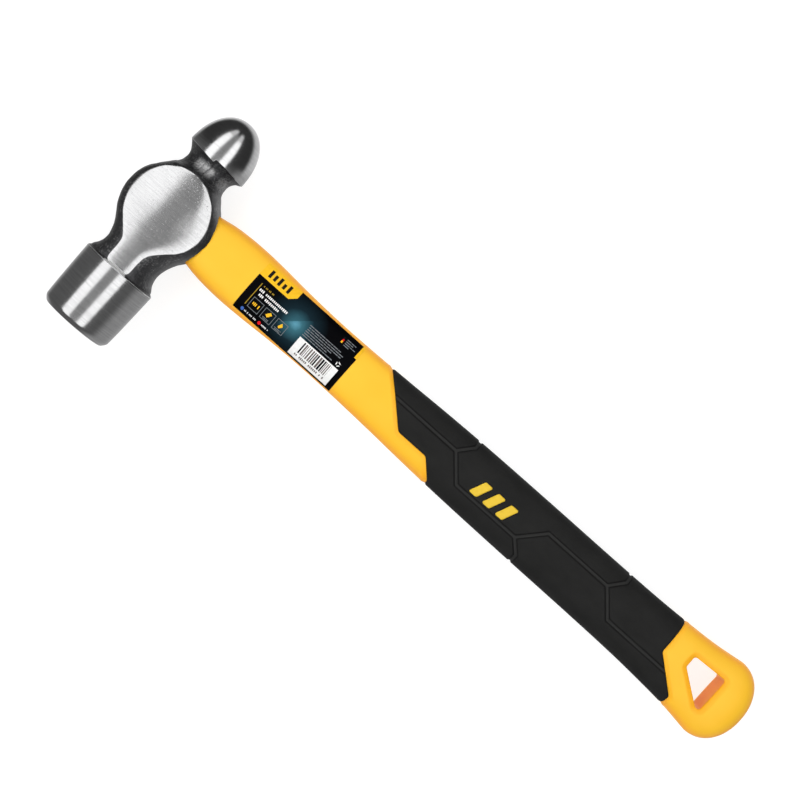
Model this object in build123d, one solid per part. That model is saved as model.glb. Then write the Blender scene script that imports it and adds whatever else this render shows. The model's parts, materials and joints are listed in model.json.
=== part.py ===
"""Ball peen hammer, 32 oz, with a moulded two-colour handle on a fibreglass core.

The pieces are made in hammer axes, in millimetres: the origin is where the handle's axis
crosses the head's axis, +X runs down the handle, +Y runs to the ball and +Z comes out of the
upper cheek. They are then laid on a bench, upper cheek up, and written one STEP each.
"""

import os
from math import cos, copysign, pi, sin

from build123d import *

# Poll, the cylinder that carries the striking face
POLL_R = 19.35
POLL_FACE_R = 19.05
SHOULDER_Y = -36.2
SHOULDER_BEVEL = 0.85
FACE_Y = -69.7
FACE_BEVEL_LENGTH = 1.9
FACE_BEVEL_DEPTH = 1.6

# Ball, half an ellipsoid standing on its rim
BALL_R = 16.6
BALL_Y = 31.4
BALL_HEIGHT = 23.6
BALL_STEPS = 6

# Forged body between them, with both cheeks ground flat at CHEEK_Z. A section is its place on
# the head's axis, its half height along the handle, the half width of the flat that grinding
# leaves on it, and its squareness: 2 is an ellipse, 4 is close to a rounded rectangle.
CHEEK_Z = 17.5
GROUND_SECTIONS = [
    (-36.2, 18.35, 5.5, 2.0),
    (-34.8, 18.0, 6.4, 2.2),
    (-32.9, 16.8, 6.7, 2.4),
    (-30.4, 15.8, 6.7, 2.5),
    (-27.5, 15.5, 6.8, 2.6),
    (-24.0, 16.2, 7.4, 2.8),
    (-20.5, 17.5, 9.6, 3.0),
    (-17.0, 19.4, 12.7, 3.4),
    (-13.5, 21.3, 15.7, 3.8),
    (-9.4, 23.1, 18.1, 4.0),
    (-4.7, 24.4, 19.8, 4.0),
    (0.0, 24.7, 20.3, 4.0),
    (4.7, 23.9, 19.8, 4.0),
    (9.4, 21.9, 18.0, 4.0),
    (14.0, 18.5, 14.7, 3.9),
    (17.0, 16.1, 11.1, 3.5),
    (18.9, 14.8, 7.6, 3.0),
]
# Neck under the ball: place on the axis, half height along the handle, half width across it
NECK_SECTIONS = [
    (20.4, 13.7, 17.2),
    (22.0, 12.9, 14.8),
    (23.8, 12.5, 13.1),
    (25.8, 12.4, 12.4),
    (27.6, 12.9, 12.9),
    (29.2, 14.1, 14.1),
    (30.5, 15.5, 15.5),
    (31.4, 16.3, 16.3),
]

# Eye, a double taper: place on the handle's axis, half width along the head, half width across
EYE_SECTIONS = [(-28.3, 12.6, 10.2), (2.8, 11.1, 8.5), (28.3, 12.1, 9.4)]
EYE_SQUARENESS = 2.2
POTTING_SINK = 0.8
SPIGOT_X = 18.0

# Handle: place on its axis, half width, half thickness
HANDLE_SECTIONS = [
    (8.0, 11.9, 10.6),
    (19.0, 13.5, 11.0),
    (29.0, 15.2, 11.4),
    (43.0, 15.95, 11.7),
    (57.0, 15.6, 11.6),
    (73.0, 14.7, 11.2),
    (92.0, 14.1, 10.9),
    (113.0, 14.25, 10.95),
    (137.0, 14.9, 11.3),
    (161.0, 15.8, 11.8),
    (188.0, 16.4, 12.1),
    (226.0, 16.7, 12.3),
    (264.0, 16.8, 12.3),
    (292.0, 17.15, 12.2),
    (311.0, 17.95, 12.15),
    (326.0, 19.0, 12.1),
    (341.0, 21.0, 12.1),
]
HANDLE_SQUARENESS = 2.6
RING_SPACING = 9.0
# Rounding past the last section: how far along it each ring stands, and its squareness seen
# on the handle's width and on its thickness
END_X = 357.5
END_STEPS = (0.36, 0.62, 0.8, 0.92, 0.985)
END_PLAN_SQUARENESS = 2.2
END_SIDE_SQUARENESS = 3.4

# Fibreglass bar inside the handle
CORE_HALF_WIDTH = 7.5
CORE_HALF_THICK = 4.9
CORE_SQUARENESS = 3.0
CORE_END_X = 312.0

# Grip: the thickness of its layer, and its outline seen from +Z, which runs past the sides
GRIP_THICK = 2.3
GRIP_CORNER_R = 2.4
GRIP_OUTLINE = [
    (126.0, 28.0),
    (126.2, 14.8),
    (148.0, -6.1),
    (165.0, -6.1),
    (173.2, -14.7),
    (173.6, -28.0),
    (324.2, -28.0),
    (323.9, -14.3),
    (307.2, -0.3),
    (307.2, 28.0),
]

# Grooves: a line that changes between two heights at each bend, and a branch out from there
GROOVE_WIDTH = 1.9
GROOVE_DEPTH = 0.6
GROOVE_HIGH_Y = 5.4
GROOVE_LOW_Y = -6.5
GROOVE_START_X = 115.0
GROOVE_END_X = 330.0
BEND_X = 173.7
BEND_PITCH = 47.0
BEND_COUNT = 3
BEND_RUN = 10.7
BRANCH_RUN = 6.2
BRANCH_Y = 12.7

# Mark on the grip: slanted bars of the jacket, flush in windows through the grip's upper side
MARK_X = 202.4
MARK_Y = -0.4
MARK_COUNT = 3
MARK_PITCH = 8.0
MARK_WIDTH = 4.6
MARK_HEIGHT = 8.4
MARK_SLANT = 3.6
MARK_CORNER_R = 0.6

# Hanging hole, seen from +Z
HOLE_OUTLINE = [(320.3, 8.4), (338.6, 9.3), (338.4, -9.6), (335.8, -9.6), (320.3, 1.9)]
HOLE_CORNER_R = 1.3

# Label on the handle's upper side
LABEL_MIN = (51.1, -13.3)
LABEL_MAX = (111.1, 12.65)
LABEL_THICK = 0.2

# Three points on which the hammer lies: poll's inner rim, lower cheek's edge, handle's end
TOUCH_POLL = (0.35, -37.05, -19.35)
TOUCH_CHEEK = (9.5, 18.0, -17.5)
TOUCH_END = (343.4, 5.9, -11.9)

RING_POINTS = 32
REACH = 60.0
LENGTH = 400.0


def superellipse(half_a, half_b, squareness):
    """Points round a superellipse, as (a, b) pairs."""
    points = []
    for i in range(RING_POINTS):
        c = cos(2 * pi * i / RING_POINTS)
        s = sin(2 * pi * i / RING_POINTS)
        a = half_a * copysign(abs(c) ** (2 / squareness), c)
        b = half_b * copysign(abs(s) ** (2 / squareness), s)
        points.append((a, b))
    return points


def smooth_ring(points):
    """A closed smooth wire, parametrised alike for every ring of a loft."""
    steps = [i / RING_POINTS for i in range(RING_POINTS + 1)]
    return Wire([Edge.make_spline(points, periodic=True, parameters=steps)])


def ring_across_y(y, half_x, half_z, squareness):
    return smooth_ring([Vector(a, y, b) for a, b in superellipse(half_x, half_z, squareness)])


def ring_across_x(x, half_y, half_z, squareness):
    return smooth_ring([Vector(x, a, b) for a, b in superellipse(half_y, half_z, squareness)])


def upright_prism(outline, corner_r):
    """A prism along Z, well past the handle both ways, on an outline seen from +Z."""
    face = Face(Wire.make_polygon([Vector(x, y, -REACH) for x, y in outline]))
    face = face.fillet_2d(corner_r, face.vertices())
    return extrude(face, amount=2 * REACH, dir=(0, 0, 1))


def half_space(x_from):
    """The space beyond x_from on the handle's axis."""
    return Pos(x_from + LENGTH / 2, 0, 0) * Box(LENGTH, 2 * REACH, 2 * REACH)


def upper_space():
    return Pos(LENGTH / 2, 0, REACH / 2) * Box(LENGTH, 2 * REACH, REACH)


def forged_body():
    """The head's middle as forged, before its cheeks are ground."""
    rings = []
    for y, half_x, flat, squareness in GROUND_SECTIONS:
        share = (1 - (flat / half_x) ** squareness) ** (1 / squareness)
        rings.append(ring_across_y(y, half_x, CHEEK_Z / share, squareness))
    for y, half_x, half_z in NECK_SECTIONS:
        rings.append(ring_across_y(y, half_x, half_z, 2.0))
    return Solid.make_loft(rings)


def poll():
    """The poll, turned: a bevelled shoulder, a slight taper and a bevelled striking face."""
    outline = [
        (0, SHOULDER_Y),
        (POLL_R - SHOULDER_BEVEL, SHOULDER_Y),
        (POLL_R, SHOULDER_Y - SHOULDER_BEVEL),
        (POLL_FACE_R, FACE_Y + FACE_BEVEL_LENGTH),
        (POLL_FACE_R - FACE_BEVEL_DEPTH, FACE_Y),
        (0, FACE_Y),
    ]
    return revolve(Face(Wire.make_polygon([Vector(r, y) for r, y in outline])), Axis.Y)


def ball():
    """The ball, turned: a quarter ellipse from its rim to its tip, swung round the axis."""
    turns = [i * pi / 2 / BALL_STEPS for i in range(BALL_STEPS + 1)]
    curve = [Vector(BALL_R * cos(t), BALL_Y + BALL_HEIGHT * sin(t)) for t in turns]
    arc = Edge.make_spline(curve, tangents=[Vector(0, 1), Vector(-1, 0)])
    centre = Vector(0, BALL_Y)
    sides = [Edge.make_line(curve[-1], centre), Edge.make_line(centre, curve[0])]
    return revolve(Face(Wire([arc] + sides)), Axis.Y)


def eye_space():
    """The eye's whole volume, running past the head at both ends."""
    return Solid.make_loft([ring_across_x(x, a, b, EYE_SQUARENESS) for x, a, b in EYE_SECTIONS])


def handle_size_at(x):
    """Half width and half thickness at x: a smooth curve through the handle's sections."""
    table = HANDLE_SECTIONS
    i = max(k for k in range(len(table) - 1) if table[k][0] <= x)
    x0, x1 = table[i][0], table[i + 1][0]
    before, after = table[max(i - 1, 0)], table[min(i + 2, len(table) - 1)]
    t = (x - x0) / (x1 - x0)
    sizes = []
    for k in (1, 2):
        y0, y1 = table[i][k], table[i + 1][k]
        slope0 = (y1 - before[k]) / (x1 - before[0]) * (x1 - x0)
        slope1 = (after[k] - y0) / (after[0] - x0) * (x1 - x0)
        value = y0 * (1 + 2 * t) * (1 - t) ** 2 + y1 * t**2 * (3 - 2 * t)
        sizes.append(value + slope0 * t * (1 - t) ** 2 - slope1 * t**2 * (1 - t))
    return sizes


def handle_form(outward=0.0):
    """The handle's outer form, with its sides moved outward."""
    first_x, last_x = HANDLE_SECTIONS[0][0], HANDLE_SECTIONS[-1][0]
    count = round((last_x - first_x) / RING_SPACING)
    rings = []
    for i in range(count):
        x = first_x + i * (last_x - first_x) / count
        half_y, half_z = handle_size_at(x)
        rings.append(ring_across_x(x, half_y + outward, half_z + outward, HANDLE_SQUARENESS))
    half_y, half_z = HANDLE_SECTIONS[-1][1:]
    for step in (0.0,) + END_STEPS:
        plan = (1 - step**END_PLAN_SQUARENESS) ** (1 / END_PLAN_SQUARENESS)
        side = (1 - step**END_SIDE_SQUARENESS) ** (1 / END_SIDE_SQUARENESS)
        x = last_x + step * (END_X - last_x)
        ring = ring_across_x(x, (half_y + outward) * plan, (half_z + outward) * side, HANDLE_SQUARENESS)
        rings.append(ring)
    return Solid.make_loft(rings)


def core_bar():
    """The fibreglass bar, from over the head to its end in the handle."""
    ring = ring_across_x(-REACH, CORE_HALF_WIDTH, CORE_HALF_THICK, CORE_SQUARENESS)
    return extrude(Face(ring), amount=REACH + CORE_END_X, dir=(1, 0, 0))


def groove_lines():
    """The grooves' centre lines, as lists of (x, y) points: the long one, then the branches."""
    heights = [GROOVE_HIGH_Y, GROOVE_LOW_Y]
    main = [(GROOVE_START_X, GROOVE_HIGH_Y)]
    branches = []
    for i in range(BEND_COUNT):
        x = BEND_X + i * BEND_PITCH
        here, after = heights[i % 2], heights[(i + 1) % 2]
        main += [(x, here), (x + BEND_RUN, after)]
        out = copysign(1, here)
        edge = (x + BRANCH_RUN + 1, out * REACH / 2)
        branches.append([(x, here), (x + BRANCH_RUN, out * BRANCH_Y), edge])
    main.append((GROOVE_END_X, main[-1][1]))
    return [main] + branches


def groove_space():
    """Prisms along Z on the grooves' centre lines."""
    prisms = []
    for line in groove_lines():
        for start, end in zip(line, line[1:]):
            run = Vector(*end) - Vector(*start)
            middle = (Vector(*start) + Vector(*end)) / 2
            angle = Vector(1, 0).get_signed_angle(run)
            prisms.append(Pos(*middle) * Rot(0, 0, angle) * Box(run.length, GROOVE_WIDTH, 2 * REACH))
        for corner in line[1:-1]:
            prisms.append(Pos(*corner) * Cylinder(GROOVE_WIDTH / 2, 2 * REACH))
    return prisms[0].fuse(*prisms[1:])


def mark_space():
    """Prisms along Z on the mark's slanted bars, on the upper side only."""
    low, high = MARK_Y - MARK_HEIGHT / 2, MARK_Y + MARK_HEIGHT / 2
    bars = []
    for i in range(MARK_COUNT):
        foot = MARK_X + (i - (MARK_COUNT - 1) / 2) * MARK_PITCH - MARK_WIDTH / 2 - MARK_SLANT / 2
        outline = [
            (foot, low),
            (foot + MARK_WIDTH, low),
            (foot + MARK_WIDTH + MARK_SLANT, high),
            (foot + MARK_SLANT, high),
        ]
        bars.append(upright_prism(outline, MARK_CORNER_R) & upper_space())
    return bars[0].fuse(*bars[1:])


def label_space():
    """A prism on the label's outline, on the upper side only."""
    size_x, size_y = LABEL_MAX[0] - LABEL_MIN[0], LABEL_MAX[1] - LABEL_MIN[1]
    return Pos(*LABEL_MIN) * Box(size_x, size_y, REACH, align=Align.MIN)


def make_pieces():
    forged = forged_body()
    eye = eye_space()
    form = handle_form()
    bar = core_bar()
    spigot = half_space(SPIGOT_X)

    ground = forged & Box(2 * REACH, 2 * REACH, 2 * CHEEK_Z)
    head = ground + poll() + ball() - eye

    below_top = Pos(POTTING_SINK, 0, 0) * forged + half_space(0)
    core = bar & below_top
    potting = (eye & below_top & forged) - spigot - bar

    layer = (form - handle_form(-GRIP_THICK)) & upright_prism(GRIP_OUTLINE, GRIP_CORNER_R)
    grip = layer - mark_space()
    jacket = (form - forged) + (eye & forged & spigot) - grip - bar
    jacket -= upright_prism(HOLE_OUTLINE, HOLE_CORNER_R)
    grip -= groove_space() - handle_form(-GROOVE_DEPTH)

    label = (handle_form(LABEL_THICK) - form) & label_space()
    return {
        "head": head,
        "fibreglass_core": core,
        "eye_potting": potting,
        "handle_jacket": jacket,
        "grip_sleeve": grip,
        "label": label,
    }


def laid_on_bench(pieces):
    """The pieces with the three touching points on the bench and the origin under the middle."""
    poll_point, cheek_point, end_point = Vector(*TOUCH_POLL), Vector(*TOUCH_CHEEK), Vector(*TOUCH_END)
    up = (end_point - poll_point).cross(cheek_point - poll_point).normalized()
    along = Vector(1, 0, 0) - up * up.X
    bench = Plane(origin=poll_point, x_dir=along, z_dir=up)
    laid = {name: bench.to_local_coords(piece) for name, piece in pieces.items()}
    box = Compound(list(laid.values())).bounding_box()
    move = Pos(-box.center().X, -box.center().Y, -box.min.Z)
    return {name: move * piece for name, piece in laid.items()}


def main():
    os.makedirs("parts", exist_ok=True)
    for name, piece in laid_on_bench(make_pieces()).items():
        export_step(piece, f"parts/{name}.step")


main()
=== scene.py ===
import json
import math

import bmesh
import bpy
import numpy as np
from mathutils import Matrix, Vector


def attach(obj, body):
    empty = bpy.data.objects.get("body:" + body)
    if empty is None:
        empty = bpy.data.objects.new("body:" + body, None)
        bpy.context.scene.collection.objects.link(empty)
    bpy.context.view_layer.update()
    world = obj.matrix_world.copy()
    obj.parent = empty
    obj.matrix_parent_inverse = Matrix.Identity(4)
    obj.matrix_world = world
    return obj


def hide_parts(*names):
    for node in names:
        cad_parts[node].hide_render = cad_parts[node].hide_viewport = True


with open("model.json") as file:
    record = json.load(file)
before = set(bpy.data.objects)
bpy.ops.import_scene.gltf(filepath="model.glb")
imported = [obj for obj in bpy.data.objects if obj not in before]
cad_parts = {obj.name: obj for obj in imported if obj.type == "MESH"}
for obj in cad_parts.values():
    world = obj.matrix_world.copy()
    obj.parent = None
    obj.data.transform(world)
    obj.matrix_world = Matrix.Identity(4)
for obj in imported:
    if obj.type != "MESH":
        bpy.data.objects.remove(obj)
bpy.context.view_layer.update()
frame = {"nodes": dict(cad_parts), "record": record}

# The hammer's own frame, in millimetres: origin where the head's axis crosses the handle's,
# +X down the handle, +Y to the ball, +Z out of the upper cheek. It is read from the mounts.
MM = 0.001
CHEEK_Z = 17.5

mounts = {m["name"]: m for m in frame["record"]["mounts"]}
axis_y = -Vector(mounts["striking_face"]["axis"]).normalized()
axis_z = Vector(mounts["upper_cheek"]["axis"]).normalized()
axis_x = axis_y.cross(axis_z).normalized()
axis_y = axis_z.cross(axis_x)
origin = Vector(mounts["upper_cheek"]["pos_m"]) - CHEEK_Z * MM * axis_z
TO_ROW = Matrix.Translation(origin) @ Matrix((axis_x, axis_y, axis_z)).transposed().to_4x4()
ROW_AXES = np.array([axis_x, axis_y, axis_z])
ROW_ORIGIN = np.array(origin)


def to_row(points):
    """Points in the hammer's frame, in mm, as points in the row frame, in metres."""
    return points @ ROW_AXES * MM + ROW_ORIGIN


# Small mathematics
def ramp(value, start, end):
    """0 before start, 1 after end, smooth between them."""
    t = np.clip((value - start) / (end - start), 0.0, 1.0)
    return t * t * (3 - 2 * t)


def hump(value, rise, fall):
    """1 between the rise and the fall, each a start and an end, and 0 beyond them."""
    return ramp(value, *rise) * (1 - ramp(value, *fall))


def smooth_curve(table, x):
    """Each column after the first, at x, on a smooth curve through the table's rows."""
    table = np.array(table, float)
    knots = table[:, 0]
    x = np.clip(np.asarray(x, float), knots[0], knots[-1])
    i = np.clip(np.searchsorted(knots, x, side="right") - 1, 0, len(knots) - 2)
    before, after = np.maximum(i - 1, 0), np.minimum(i + 2, len(knots) - 1)
    run = knots[i + 1] - knots[i]
    t = (x - knots[i]) / run
    v = table[:, 1:].T
    slope0 = (v[:, i + 1] - v[:, before]) / (knots[i + 1] - knots[before]) * run
    slope1 = (v[:, after] - v[:, i]) / (knots[after] - knots[i]) * run
    value = v[:, i] * (1 + 2 * t) * (1 - t) ** 2 + v[:, i + 1] * t**2 * (3 - 2 * t)
    return value + slope0 * t * (1 - t) ** 2 - slope1 * t**2 * (1 - t)


def line_distance(p, line):
    """Distance of each point to the line through these corners."""
    distance = np.full(p.shape[:-1], 1e9)
    for a, b in zip(line, line[1:]):
        x, y, dx, dy = p[..., 0] - a[0], p[..., 1] - a[1], b[0] - a[0], b[1] - a[1]
        t = np.clip((x * dx + y * dy) / (dx * dx + dy * dy), 0, 1)
        distance = np.minimum(distance, np.hypot(x - t * dx, y - t * dy))
    return distance


def rounded(outline, radius, steps=6):
    """A closed outline with its corners rounded, as a list of points."""
    points = []
    for i, corner in enumerate(outline):
        c = Vector(corner)
        back = (Vector(outline[i - 1]) - c).normalized()
        on = (Vector(outline[(i + 1) % len(outline)]) - c).normalized()
        half = back.angle(on) / 2
        reach = radius / math.tan(half)
        middle = c + (back + on).normalized() * (radius / math.sin(half))
        start, end = c + back * reach - middle, c + on * reach - middle
        for k in range(steps + 1):
            ray = start.lerp(end, k / steps).normalized() * radius
            points.append(tuple(middle + ray))
    return points


def inside_distance(p, outline):
    """Signed distance of each point to a closed outline, positive inside it."""
    x, y = p[..., 0], p[..., 1]
    line = outline + outline[:1]
    distance = line_distance(p, line)
    inside = np.zeros(x.shape, bool)
    for a, b in zip(line, line[1:]):
        if a[1] != b[1]:
            crosses = (a[1] > y) != (b[1] > y)
            inside ^= crosses & (x < (b[0] - a[0]) * (y - a[1]) / (b[1] - a[1]) + a[0])
    return np.where(inside, distance, -distance)


# Meshes
def put(name, data):
    """A new object in the scene."""
    made = bpy.data.objects.new(name, data)
    bpy.context.scene.collection.objects.link(made)
    return made


def mesh_object(name, points, faces, materials, face_material=None):
    """A smooth-shaded object from points in mm and a list of arrays of faces."""
    mesh = bpy.data.meshes.new(name)
    mesh.from_pydata(to_row(points).tolist(), [], [face for group in faces for face in group.tolist()])
    if face_material is not None:
        mesh.polygons.foreach_set("material_index", np.concatenate(face_material).astype(np.int32))
    mesh.validate()
    for m in materials:
        mesh.materials.append(m)
    mesh.shade_smooth()
    return put(name, mesh)


def drop_loose_points(piece):
    """Removes points that no face uses."""
    work = bmesh.new()
    work.from_mesh(piece.data)
    bmesh.ops.delete(work, geom=[v for v in work.verts if not v.link_faces], context="VERTS")
    work.to_mesh(piece.data)
    work.free()


def grid_quads(rows, columns, wrap=True):
    """Quads of a grid of points, row after row."""
    i, j = np.meshgrid(np.arange(rows - 1), np.arange(columns if wrap else columns - 1), indexing="ij")
    k, here = (j + 1) % columns, i * columns
    quads = np.stack([here + j, here + k, here + columns + k, here + columns + j], -1)
    return quads.reshape(-1, 4)


def keep_values(piece, name, values, kind="FLOAT", key="value"):
    """Keeps a number or a vector at each of the mesh's points, for the materials to read."""
    layer = piece.data.attributes.new(name, kind, "POINT")
    layer.data.foreach_set(key, np.asarray(values, np.float32).ravel())


def give(piece, body, node):
    """Keeps the points' places in the hammer's frame, in mm, hangs the piece on its body, and hides the CAD node it
    stands in for.
    """
    co = np.zeros(len(piece.data.vertices) * 3, np.float32)
    piece.data.vertices.foreach_get("co", co)
    place = (co.reshape(-1, 3).astype(float) - ROW_ORIGIN) @ ROW_AXES.T / MM
    keep_values(piece, "hammer_mm", place, "FLOAT_VECTOR", "vector")
    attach(piece, body)
    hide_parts(node)


# Materials
class Nodes:
    """A new material's or world's nodes, and short ways to add to them."""

    def __init__(self, name, world=False, **settings):
        self.owner = (bpy.data.worlds if world else bpy.data.materials).new(name)
        self.owner.use_nodes = True
        self.tree = self.owner.node_tree
        self.shader = self.tree.nodes["Background" if world else "Principled BSDF"]
        for key, value in settings.items():
            self.shader.inputs[key.replace("_", " ")].default_value = value

    def add(self, kind, **settings):
        node = self.tree.nodes.new("ShaderNode" + kind)
        for key, value in settings.items():
            setattr(node, key, value)
        return node

    def join(self, source, target):
        self.tree.links.new(source, target)

    def place(self, scale=(1, 1, 1), turn=0.0, row=False):
        """The point's place times the scale: in the hammer's frame, in mm, or in the row frame, for a CAD node."""
        if row:
            source = self.add("TexCoord").outputs["Object"]
        else:
            source = self.add("Attribute", attribute_name="hammer_mm").outputs["Vector"]
        mapping = self.add("Mapping")
        mapping.inputs["Scale"].default_value = scale
        mapping.inputs["Rotation"].default_value = (0, 0, turn)
        self.join(source, mapping.inputs["Vector"])
        return mapping.outputs["Vector"]

    def texture(self, place, detail, rough, scale=1.0):
        node = self.add("TexNoise")
        for name, number in (("Scale", scale), ("Detail", detail), ("Roughness", rough)):
            node.inputs[name].default_value = number
        self.join(place, node.inputs["Vector"])
        return node.outputs["Fac"]

    def noise(self, scale, detail=3.0, rough=0.7, **place):
        """Noise over the point's place, its scale one number or one for each axis."""
        scale = scale if isinstance(scale, tuple) else (scale,) * 3
        return self.texture(self.place(scale, **place), detail, rough)

    def attribute(self, name):
        return self.add("Attribute", attribute_name=name).outputs["Fac"]

    def axes(self):
        node = self.add("SeparateXYZ")
        self.join(self.place(), node.inputs[0])
        return node.outputs

    def vector(self, operation, place, other=(0, 0, 0)):
        node = self.add("VectorMath", operation=operation)
        self.join(place, node.inputs[0])
        node.inputs[1].default_value = other
        return node.outputs["Value"]

    def span(self, value, low, high, to_low=0.0, to_high=1.0, smooth=False):
        """The value carried from one range to another, held at its ends."""
        node = self.add("MapRange", interpolation_type="SMOOTHSTEP" if smooth else "LINEAR")
        for name, number in zip(("From Min", "From Max", "To Min", "To Max"), (low, high, to_low, to_high)):
            node.inputs[name].default_value = number
        self.join(value, node.inputs["Value"])
        return node.outputs["Result"]

    def over(self, noise, low, high):
        """A noise's usual range carried to another."""
        return self.span(noise, 0.3, 0.7, low, high)

    def band(self, value, rise, fall, smooth=False):
        """1 between the rise and the fall, and 0 beyond them."""
        return self.times(self.span(value, *rise, smooth=smooth), self.span(value, *fall, 1.0, 0.0, smooth=smooth))

    def math(self, operation, first, *others):
        for other in others:
            node = self.add("Math", operation=operation)
            for value, socket in zip((first, other), node.inputs):
                if isinstance(value, float):
                    socket.default_value = value
                else:
                    self.join(value, socket)
            first = node.outputs["Value"]
        return first

    def plus(self, *values):
        return self.math("ADD", *values)

    def times(self, *values):
        return self.math("MULTIPLY", *values)

    def colours(self, value, *stops):
        """A colour from the value, by (position, colour) stops."""
        node = self.add("ValToRGB")
        elements = node.color_ramp.elements
        while len(elements) < len(stops):
            elements.new(0.5)
        for element, (position, colour) in zip(elements, stops):
            element.position = position
            element.color = (*colour, 1)
        self.join(value, node.inputs["Fac"])
        return node.outputs["Color"]

    def mix(self, amount, a, b):
        node = self.add("Mix", data_type="RGBA")
        self.join(amount, node.inputs["Factor"])
        for value, socket in ((a, node.inputs[6]), (b, node.inputs[7])):
            if isinstance(value, tuple):
                socket.default_value = (*value, 1)
            else:
                self.join(value, socket)
        return node.outputs[2]

    def finish(self, colour, rough, *bumps):
        """The material, with its bumps, each a height, a distance in mm and a strength, one on another."""
        self.join(colour, self.shader.inputs["Base Color"])
        self.join(rough, self.shader.inputs["Roughness"])
        normal = None
        for height, distance, strength in bumps:
            node = self.add("Bump")
            node.inputs["Distance"].default_value = distance * MM
            node.inputs["Strength"].default_value = strength
            self.join(height, node.inputs["Height"])
            if normal:
                self.join(normal, node.inputs["Normal"])
            normal = node.outputs["Normal"]
            self.join(normal, self.shader.inputs["Normal"])
        return self.owner


# A light grey painted into the steel as a highlight line where the poll meets the funnel, over a small real ridge.
PAINTED_HIGHLIGHT_GREY = (0.85, 0.85, 0.85)


def polished_steel():
    """The poll and the ball: turned on their axis and polished, with hairlines round it, and a painted highlight line
    at the shoulder.
    """
    n = Nodes("polished_steel", Metallic=1.0)
    lines = n.noise((0.012, 6.0, 0.012))
    coarse = n.noise((0.05, 1.5, 0.05), rough=0.75)
    cloud = n.noise(0.09, 4.0, 0.6)
    rings = n.texture(n.vector("LENGTH", n.place((1, 0, 1))), 4.0, 0.75, scale=2.6)
    tone = n.plus(n.over(lines, 0.0, 0.30), n.span(coarse, 0.36, 0.64, 0.0, 0.45),
                  n.over(rings, 0.0, 0.25))
    y = n.axes()["Y"]
    steel = n.colours(tone, (0.0, (0.28, 0.28, 0.283)), (1.0, (0.41, 0.41, 0.412)))
    bright = n.colours(tone, (0.0, (0.34, 0.34, 0.343)), (1.0, (0.47, 0.47, 0.472)))
    # A painted highlight line round the poll's rounded shoulder edge, which is also rougher there.
    shoulder_highlight = n.band(y, (-37.15, -36.95), (-36.0, -35.8))
    rough = n.plus(n.over(lines, 0.12, 0.18), n.span(cloud, 0.35, 0.7, 0.0, 0.05))
    steel = n.mix(n.times(shoulder_highlight, 0.8), n.mix(n.span(y, 0.0, 30.0), steel, bright), PAINTED_HIGHLIGHT_GREY)
    return n.finish(steel, n.plus(rough, n.times(shoulder_highlight, 0.45)),
                    (lines, 0.02, 0.25), (coarse, 0.03, 0.3), (rings, 0.03, 0.3))


def ground_steel():
    """The cheeks and the funnel's flats: ground on a belt across the head, with pits that also carry painted glints, a
    painted highlight patch on each cheek, and a painted highlight line at the shoulder.
    """
    n = Nodes("ground_steel", Metallic=1.0)
    lines = n.noise((0.05, 7.0, 0.5), turn=0.05)
    coarse = n.noise((0.07, 1.7, 0.3), 4.0, 0.8, turn=-0.06)
    specks = n.noise(1.6, 2.0)
    cloud = n.noise((0.08, 0.05, 0.08), rough=0.6)
    tone = n.plus(n.over(lines, 0.0, 0.30), n.span(coarse, 0.33, 0.67, 0.0, 0.70))
    y = n.axes()["Y"]
    # A painted highlight line on the funnel's flats next to the shoulder, which are also rougher there.
    lip = n.span(y, -35.7, -35.2, 1.0, 0.0)
    # Real pits towards the ball end, rougher and bumped, whose specks are also painted lighter as glints.
    pits_and_glints = n.times(n.span(specks, 0.61, 0.70), n.span(y, 7.0, 17.0))
    # A painted highlight: lighter steel in a soft patch to the +X side of the cheek's middle.
    away = n.vector("DISTANCE", n.place((1.0, 0.5, 0.0)), (10.6, -0.25, 0.0))
    away = n.plus(away, n.over(cloud, -1.5, 1.5))
    near = n.span(away, 1.5, 5.0, 1.0, 0.0, smooth=True)
    steel = n.colours(tone, (0.0, (0.305, 0.305, 0.308)), (1.0, (0.412, 0.412, 0.414)))
    # The painted highlight patch and the painted glints in the pits, mixed in as lighter steel.
    for patch, share in ((near, 0.42), (pits_and_glints, 0.3)):
        steel = n.mix(n.times(patch, share), steel, (0.60, 0.60, 0.60))
    rough = n.plus(n.over(lines, 0.14, 0.21), n.span(cloud, 0.35, 0.7, 0.0, 0.06))
    rough = n.plus(rough, n.times(n.math("MAXIMUM", lip, pits_and_glints), 0.4))
    return n.finish(n.mix(n.times(lip, 0.8), steel, PAINTED_HIGHLIGHT_GREY), rough, (lines, 0.02, 0.25),
                    (coarse, 0.025, 0.3), (n.span(specks, 0.66, 0.72), 0.04, 0.4), (pits_and_glints, 0.03, 0.4))


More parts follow.
